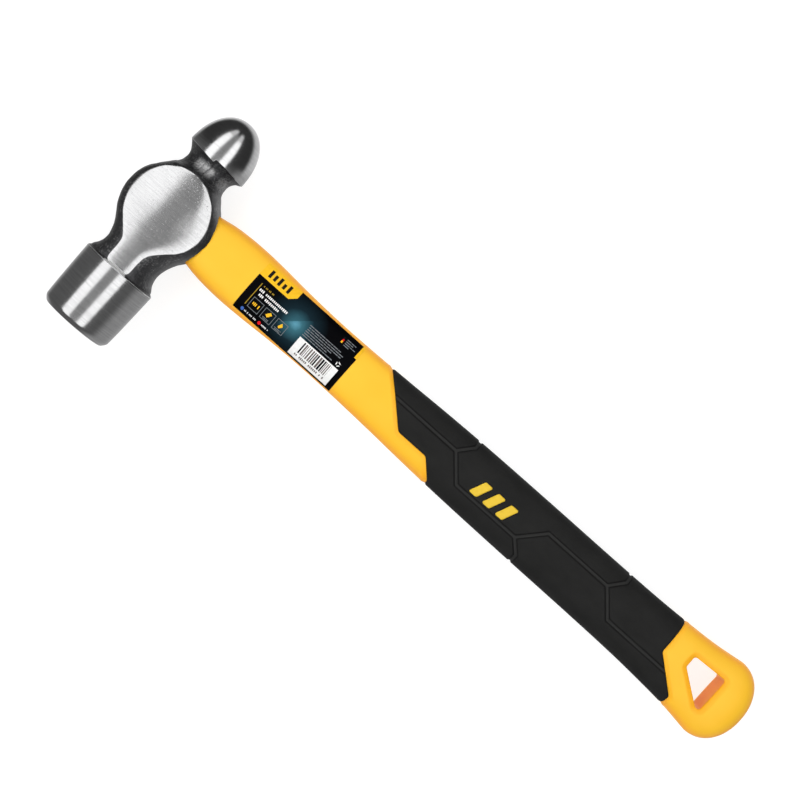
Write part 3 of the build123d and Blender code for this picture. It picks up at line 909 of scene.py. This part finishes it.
def grip_height():
    """How far the grip's surface stands off the plain form, in mm."""
    outer = -GRIP_DROP * (1 - np.clip(grip_at / GRIP_ROUND, 0, 1)) ** 2
    window = np.where(grip_at > MARK_INSIDE, -WINDOW_DROP * (1 - ramp(seam_at, 0.0, WINDOW_ROUND)), 0.0)
    return outer + window - GROOVE_DEPTH * (1 - ramp(groove_at, GROOVE_FLOOR, GROOVE_TOP))


def raised(height):
    """The grid's points moved off the plain form, by one height or one for each."""
    return (base + normals * np.broadcast_to(height, base.shape[:2])[..., None]).reshape(-1, 3)


def classify(signs, quads):
    """The quads on the field's positive side and its negative, those wholly on the line, and the triangles
    on each side of the quads across it."""
    signs = signs.ravel()
    v = signs[quads]
    high, low = v.max(1) > 0, v.min(1) < 0
    mixed, v = quads[high & low], v[high & low]
    first = ((v[:, 0] == 0) & (v[:, 2] == 0))[:, None]
    triangles = np.concatenate([np.where(first, mixed[:, a], mixed[:, b])
                                for a, b in (([0, 1, 2], [1, 2, 3]), ([0, 2, 3], [1, 3, 0]))])
    above = signs[triangles].sum(1) > 0
    return quads[high & ~low], quads[low & ~high], quads[~high & ~low], triangles[above], triangles[~above]


def rim_edges(*face_arrays):
    """Directed edges that only one of these faces has."""
    edges = np.concatenate([np.stack([f, np.roll(f, -1, 1)], -1).reshape(-1, 2) for f in face_arrays])
    size = edges.max() + 1
    return edges[~np.isin(edges[:, 0] * size + edges[:, 1], edges[:, 1] * size + edges[:, 0])]


def walls(edges, upper, lower):
    """Quads between two levels of points, along edges of the upper one."""
    a, b = edges.T
    return np.stack([upper[a], upper[b], lower[b], lower[a]], -1)


hole_in, hole_out, _, hole_in_tris, hole_out_tris = classify(hole_sign, grid_quads(ROWS, AROUND)[:, ::-1])
grip_q, jacket_q, seam_flat, grip_t, jacket_t = classify(seam_sign, hole_out)
flat_grip = seam_at.ravel()[seam_flat].mean(1) > 0
grip_q, jacket_q = np.concatenate([grip_q, seam_flat[flat_grip]]), np.concatenate([jacket_q, seam_flat[~flat_grip]])
grip_rim = rim_edges(grip_q, grip_t)
OUTER, DEEP = np.arange(COUNT), np.arange(COUNT) + COUNT


def make_grip():
    """The grip: its outer surface, its inner one, and the walls between them along its edges."""
    points = np.concatenate([raised(grip_height()), raised(-GRIP_THICK)])
    quads = np.concatenate([grip_q, (grip_q + COUNT)[:, ::-1], walls(grip_rim[:, ::-1], OUTER, DEEP)])
    faces = [quads, np.concatenate([grip_t, (grip_t + COUNT)[:, ::-1]])]
    grip = mesh_object("grip_sleeve_rubber", points, [f[:, ::-1] for f in faces], [black_rubber()])
    keep_values(grip, "groove_mm", np.concatenate([groove_at.ravel(), np.full(COUNT, 9.0)]))
    drop_loose_points(grip)
    give(grip, "root", "grip_sleeve")


def mirrored(index):
    """The point below this one, on the other side of the hammer's middle plane."""
    row, column = index // AROUND, index % AROUND
    return row * AROUND + (-column) % AROUND


def make_jacket():
    """The jacket: its surface, the pocket under the grip, the hang hole's walls and the core's bore."""
    outer = raised(jacket_height())
    points = [outer, raised(-GRIP_THICK - POCKET_GAP)]
    quads = [jacket_q, grip_q + COUNT, walls(grip_rim, OUTER, DEEP)]
    tris = [jacket_t, grip_t + COUNT, hole_out_tris]
    edges = rim_edges(hole_in, hole_in_tris)
    edges = edges[base.reshape(-1, 3)[edges[:, 0], 2] > 0]
    ring, place = np.unique(edges, return_inverse=True)
    top, bottom = outer[ring], outer[mirrored(ring)]
    total, levels = 2 * COUNT, [ring]
    for k in range(1, HOLE_LEVELS):
        points.append(top + (bottom - top) * k / HOLE_LEVELS)
        levels.append(np.arange(len(ring)) + total)
        total += len(ring)
    levels.append(mirrored(ring))
    for upper, lower in zip(levels, levels[1:]):
        quads.append(walls(place.reshape(edges.shape), upper, lower))
    for x in [None, *np.linspace(BORE_START_X, CORE_END_X, BORE_RINGS)]:
        ring = section(CORE_HALF_Y, CORE_HALF_Z, CORE_SQUARENESS, AROUND, 0.0)
        ring[:, 0] = jacket_start(ring[:, 1], ring[:, 2]) if x is None else x
        points.append(ring)
    quads.append(grid_quads(BORE_RINGS + 1, AROUND) + total)
    column = np.arange(AROUND)
    after = (column + 1) % AROUND
    quads.append(np.stack([column, after, total + after, total + column], -1))
    caps = [(total + BORE_RINGS * AROUND + column)[None, :], ((ROWS - 1) * AROUND + column)[None, ::-1]]
    faces = [np.concatenate(quads), np.concatenate(tris)] + caps
    finish = [np.zeros(len(f)) for f in faces]
    for kinds, ours in zip(finish, (jacket_q, jacket_t)):
        kinds[:len(ours)] = grip_at.ravel()[ours].mean(1) > MARK_INSIDE
    points = np.concatenate(points)
    jacket = mesh_object("handle_jacket_moulding", points, [f[:, ::-1] for f in faces],
                         [yellow_plastic(), mark_plastic()], finish)
    painted_bevel_shade, side = np.zeros(len(points)), np.ones(len(points))
    # Painted shade: the lip by the grip and the slope round the hang hole take a deeper orange.
    lip = 1 - ramp(np.abs(grip_at), LIP_WIDTH - LIP_SHADE_FADE, LIP_WIDTH + LIP_SHADE_FADE)
    rim = 1 - ramp(np.abs(hole_at), HOLE_BEVEL - RIM_SHADE_FADE, HOLE_BEVEL + RIM_SHADE_FADE)
    painted_bevel_shade[:COUNT] = np.maximum(np.where(grip_at < MARK_INSIDE, LIP_PAINTED_SHADE * lip, 0.0), RIM_PAINTED_SHADE * rim).ravel()
    # Painted shade: where the surface turns away from straight up, towards the sides, it takes a deeper orange.
    side[:COUNT] = 1 - ramp(np.abs(normals[..., 2]), *SIDE_SHADE_SLOPES).ravel()
    keep_values(jacket, "painted_bevel_shade", painted_bevel_shade)
    keep_values(jacket, "side", side)
    jacket.visible_glossy = False
    drop_loose_points(jacket)
    give(jacket, "root", "handle_jacket")


make_grip()
make_jacket()

# The label: a film wrapped onto the jacket, and its generic print, all bars and blocks
LABEL_X, LABEL_Y, LABEL_THICK = (51.1, 111.1), (-13.3, 12.65), 0.2
INK, INK_OVERLAP = 0.02, 0.005


def jacket_surface(x, y, lift):
    """The point over (x, y) on the jacket's upper side, lifted off it."""
    def height(x, y):
        half_y, half_z = handle_size(x)
        return half_z * np.clip(1 - np.abs(y / half_y) ** HANDLE_SQUARENESS, 1e-6, 1) ** (1 / HANDLE_SQUARENESS)

    z, small = height(x, y), 0.02
    slope_x = (height(x + small, y) - height(x - small, y)) / (2 * small)
    slope_y = (height(x, y + small) - height(x, y - small)) / (2 * small)
    normal = np.stack([-slope_x, -slope_y, np.ones_like(z)], -1)
    normal /= np.linalg.norm(normal, axis=-1, keepdims=True)
    return np.stack([x, y, z], -1) + normal * lift


class Sheet:
    """Thin closed slabs laid on the jacket, gathered into one mesh."""

    def __init__(self):
        self.points, self.quads, self.slots, self.count = [], [], [], 0

    def patch(self, corners, low, high, slot, cell_x=2.0, cell_y=0.6):
        """A slab over the four-cornered area, between two heights off the jacket."""
        a, b, c, d = np.array(corners, float)
        size = np.linalg.norm
        across = max(1, round(max(size(b - a), size(c - d)) / cell_x))
        up = max(1, round(max(size(d - a), size(c - b)) / cell_y))
        u, v = np.meshgrid(np.linspace(0, 1, across + 1), np.linspace(0, 1, up + 1), indexing="ij")
        u, v = u[..., None], v[..., None]
        flat = a * (1 - u) * (1 - v) + b * u * (1 - v) + c * u * v + d * (1 - u) * v
        for lift in (high, low):
            self.points.append(jacket_surface(flat[..., 0], flat[..., 1], lift).reshape(-1, 3))
        total = (across + 1) * (up + 1)
        top = grid_quads(across + 1, up + 1, wrap=False)[:, ::-1]
        wall = walls(rim_edges(top)[:, ::-1], np.arange(total), np.arange(total) + total)
        quads = np.concatenate([top, top[:, ::-1] + total, wall]) + self.count
        self.quads.append(quads)
        self.slots.append(np.full(len(quads), slot))
        self.count += 2 * total

    def shape(self, corners, slot, layer=1, **cells):
        top = LABEL_THICK + INK * layer
        self.patch(corners, top - INK - INK_OVERLAP, top, slot, **cells)

    def bar(self, x0, x1, y0, y1, slot, layer=1, **cells):
        self.shape(((x0, y0), (x1, y0), (x1, y1), (x0, y1)), slot, layer, **cells)

    def frame(self, x, y, half_x, half_y, line, slot):
        for side in (-1, 1):
            self.bar(x - half_x, x + half_x, *sorted((y + side * half_y, y + side * (half_y - line))), slot)
        for side in (-1, 1):
            ends = sorted((x + side * half_x, x + side * (half_x - line)))
            self.bar(*ends, y - half_y + line, y + half_y - line, slot)

    def disc(self, x, y, r, slot):
        for k in range(8):
            p, q, m = [(x + r * math.cos(a * math.pi / 4), y + r * math.sin(a * math.pi / 4))
                       for a in (k, k + 1, k + 0.5)]
            self.shape(((x, y), p, m, q), slot)

    def text(self, x, end, y, height, slot, seed):
        """A line of generic print: short bars like words."""
        draw = np.random.RandomState(seed)
        while x < end - 0.4:
            word = min(draw.uniform(1.1, 3.4), end - x)
            self.bar(x, x + word, y - height / 2, y + height / 2, slot)
            x += word + 0.28

    def letters(self, x0, x1, y, height, slot, pitch, seed, layer=1):
        """A bold line of generic print: upright strokes, some tall and some short."""
        draw = np.random.RandomState(seed)
        for x in np.arange(x0, x1 - pitch * 0.5, pitch):
            if draw.uniform() < 0.14:
                continue
            tall = height * draw.uniform(0.72, 1.0)
            self.bar(x, x + pitch * 0.66, y - tall / 2, y + tall / 2, slot, layer)


INKS = (("yellow", (1.0, 0.55, 0.018)), ("white", (0.90, 0.90, 0.89)), ("grey", (0.18, 0.20, 0.215)),
        ("black", (0.003, 0.003, 0.005)), ("blue", (0.05, 0.14, 0.50)), ("red", (0.80, 0.008, 0.014)),
        ("dim", (0.44, 0.29, 0.02)), ("brown", (0.16, 0.13, 0.125)))


def make_label():
    film, yellow, white, grey, black, blue, red, dim, brown = range(9)
    art = Sheet()
    (x0, x1), (y0, y1) = LABEL_X, LABEL_Y
    art.patch(((x0, y0), (x1, y0), (x1, y1), (x0, y1)), -0.05, LABEL_THICK, film, cell_x=1.0, cell_y=0.45)
    art.bar(x0, 68.8, 5.92, y1, yellow)
    art.shape(((68.8, 5.92), (71.84, 8.88), (71.7, y1), (68.8, y1)), yellow)
    art.bar(109.67, x1, 5.96, y1, yellow)
    for i, (low_y, high_y) in enumerate(((7.4, 11.3), (7.6, 10.6), (7.4, 11.3), (7.6, 10.2), (7.4, 11.3))):
        art.bar(54.7 + 2.75 * i, 56.2 + 2.75 * i, low_y, high_y, black, layer=2)
    art.bar(54.95, 55.3, -9.0, 3.46, dim)
    for x in (59.56, 67.02, 74.49):
        art.frame(x, -6.32, 3.1, 2.8, 0.26, grey)
    for line in ((56.1, 63.2, 2.85, 0.85, dim, 0.62, 9), (56.1, 73.7, 0.62, 1.35, white, 0.95, 3),
                 (56.3, 69.6, -1.45, 1.35, white, 0.95, 7), (57.7, 61.5, -6.2, 1.7, yellow, 0.8, 11),
                 (56.8, 64.0, -11.4, 0.75, white, 0.6, 12), (67.2, 71.4, -11.3, 0.75, white, 0.6, 13),
                 (87.4, 105.6, -10.85, 1.1, brown, 0.95, 41, 2)):
        art.letters(*line)
    for corners in (((66.0, -5.6), (67.2, -6.4), (68.6, -5.0), (67.3, -4.2)),
                    ((65.5, -6.3), (66.9, -7.1), (67.9, -6.1), (66.6, -5.4)),
                    ((73.5, -6.6), (74.3, -7.3), (75.7, -5.8), (74.6, -4.3))):
        art.shape(corners, yellow)
    for x, end, y, seed in ((65.0, 69.0, -7.9, 2), (65.4, 68.6, -8.5, 4), (72.4, 76.4, -7.9, 6), (72.8, 76.0, -8.5, 8)):
        art.text(x, end, y, 0.3, grey, seed)
    ends = ((84.6, 103.5), (84.9, 106.3), (84.8, 105.2), (84.6, 100.4), (84.8, 98.5), (84.6, 102.8))
    for i, (x, end) in enumerate(ends):
        art.text(x, end, 3.75 - i * 1.12, 0.42, grey, 20 + i)
    for i, end in enumerate((107.2, 106.4, 108.2, 105.6)):
        art.text(102.0, end, 10.1 - i, 0.4, grey, 50 + i)
    art.disc(55.5, -11.35, 0.85, blue)
    art.disc(65.9, -11.3, 0.85, red)
    art.bar(84.55, 108.2, -12.5, -3.26, white, cell_y=0.45)
    draw = np.random.RandomState(31)
    x = 88.2
    while x < 104.9:
        wide = draw.choice((0.35, 0.5, 0.75, 1.0))
        art.bar(x, min(x + wide, 105.0), -9.7, -3.9, draw.choice((black, brown, brown)), layer=2)
        x += wide + draw.choice((0.3, 0.42, 0.6))
    near, far = 0.75, 1.35
    for a in np.arange(3) * math.tau / 3 + 0.5:
        b = a + 1.35
        art.shape([(106.2 + r * math.cos(t), -1.25 + r * math.sin(t))
                   for r, t in ((near, a), (far, a), (far, b), (near, b))], white)
    art.bar(99.9, 100.75, 9.15, 10.3, black)
    art.bar(100.1, 101.0, 8.2, 9.2, red)
    art.bar(100.0, 100.9, 7.2, 8.2, yellow)
    label = mesh_object("label_film_print", np.concatenate(art.points), [np.concatenate(art.quads)],
                        [label_film()] + [printed(*ink) for ink in INKS], [np.concatenate(art.slots)])
    label.data.set_sharp_from_angle(angle=math.radians(40))
    give(label, "root", "label")


make_label()

# The core and the potting keep their CAD form and get their own materials
for node, material in (("fibreglass_core", fibreglass()), ("eye_potting", epoxy())):
    cad = frame["nodes"][node]
    cad.data.materials.clear()
    cad.data.materials.append(material)

# Floor, light and camera
EYE_HEIGHT, EYE_X, EYE_Y = 849.4, 138.7, 5.57
HANDLE_TURN = math.radians(41.8)
LENS_MM, SENSOR_MM = 81.3, 36.0
# In metres, in the row frame
FLOOR_HALF, FLOOR_CELLS, FLOOR_Z = 6.0, 8, -0.0002
FLOOR_GLOW, STRIP_RADIANCE, STRIP_END_RADIANCE, GAP_RADIANCE = 0.8, 2.45, 1.15, 0.35
BACKDROP = (0.93, 0.93, 0.93)
# How far the room's brightness leans from straight up, the heights and the brightness it runs between,
# and where along the head the poll's gives way to the ball's
POLL_TILT, BALL_TILT = 26, 11.7
POLL_WORLD = (-0.60, -0.06, 0.60, 0.21)
BALL_WORLD = (-0.70, -0.32, 1.02, 0.06)
BALL_SPAN = (0.02, 0.22)


def row_point(x, y, z):
    return TO_ROW @ (Vector((x, y, z)) * MM)


def row_direction(x, y, z):
    return (TO_ROW.to_3x3() @ Vector((x, y, z))).normalized()


def make_floor():
    n = Nodes("floor", Specular_IOR_Level=0.1, Emission_Color=(1, 1, 1, 1), Emission_Strength=FLOOR_GLOW, Roughness=0.9)
    cloud = n.noise(3, 2.0, 0.5, row=True)
    pale = n.colours(cloud, (0.3, (0.30, 0.30, 0.30)), (0.7, (0.33, 0.33, 0.33)))
    n.join(pale, n.shader.inputs["Base Color"])
    at = np.linspace(-FLOOR_HALF, FLOOR_HALF, FLOOR_CELLS + 1)
    mesh = bpy.data.meshes.new("floor")
    faces = grid_quads(FLOOR_CELLS + 1, FLOOR_CELLS + 1, wrap=False)
    mesh.from_pydata([(x, y, FLOOR_Z) for y in at for x in at], [], faces.tolist())
    mesh.materials.append(n.owner)
    floor = put("floor", mesh)
    floor.visible_glossy = False


def soft_light(name, degrees, width, span, radiance, distance=1.1):
    """A soft box along the head's axis, the angle of its middle measured from straight up towards +X."""
    data = bpy.data.lights.new(name, "AREA")
    data.shape = "RECTANGLE"
    length = span[1] - span[0]
    data.size, data.size_y = width, length
    data.energy = radiance * math.pi * width * length
    lamp = put(name, data)
    angle = math.radians(degrees)
    away, along_head = row_direction(math.sin(angle), 0, math.cos(angle)), row_direction(0, 1, 0)
    lamp.location = row_point(0, 0, 15) + away * distance + along_head * (span[0] + span[1]) / 2
    side = along_head.cross(away).normalized()
    lamp.rotation_euler = Matrix((side, away.cross(side).normalized(), away)).transposed().to_euler()


def make_lights():
    for name, degrees, width in (("strip_left", -30, 0.58), ("strip_right", 27, 0.49)):
        soft_light(name, degrees, width, (-1.5, 1.3), STRIP_RADIANCE)
        soft_light(name + "_end", degrees, width, (1.3, 3.2), STRIP_END_RADIANCE)
    soft_light("between", -0.5, 0.70, (-1.5, 2.6), GAP_RADIANCE, distance=1.3)


def make_world():
    """A pale backdrop to the camera; to the steel, a dim room, brighter below, and brighter still below the ball."""
    n = Nodes("studio", world=True)
    bpy.context.scene.world = n.owner
    place = n.add("TexCoord").outputs["Generated"]

    def towards(direction, *values):
        return n.span(n.vector("DOT_PRODUCT", place, row_direction(*direction)), *values, smooth=True)

    poll, ball = [towards((-math.sin(math.radians(tilt)), 0, math.cos(math.radians(tilt))), *values)
                  for tilt, values in ((POLL_TILT, POLL_WORLD), (BALL_TILT, BALL_WORLD))]
    seen = n.mix(towards((0, 1, 0), *BALL_SPAN), poll, ball)
    seen = n.mix(n.add("LightPath").outputs["Is Camera Ray"], seen, BACKDROP)
    n.join(seen, n.shader.inputs["Color"])


def make_camera():
    data = bpy.data.cameras.new("camera")
    data.lens, data.sensor_width = LENS_MM, SENSOR_MM
    data.clip_start, data.clip_end = 0.01, 50
    camera = put("camera", data)
    c, s = math.cos(HANDLE_TURN), math.sin(HANDLE_TURN)
    right, up, back = row_direction(c, s, 0), row_direction(-s, c, 0), row_direction(0, 0, 1)
    camera.rotation_euler = Matrix((right, up, back)).transposed().to_euler()
    camera.location = row_point(EYE_X, EYE_Y, EYE_HEIGHT)
    bpy.context.scene.camera = camera


make_floor()
make_lights()
make_world()
make_camera()
bpy.context.scene.view_settings.view_transform = "Standard"
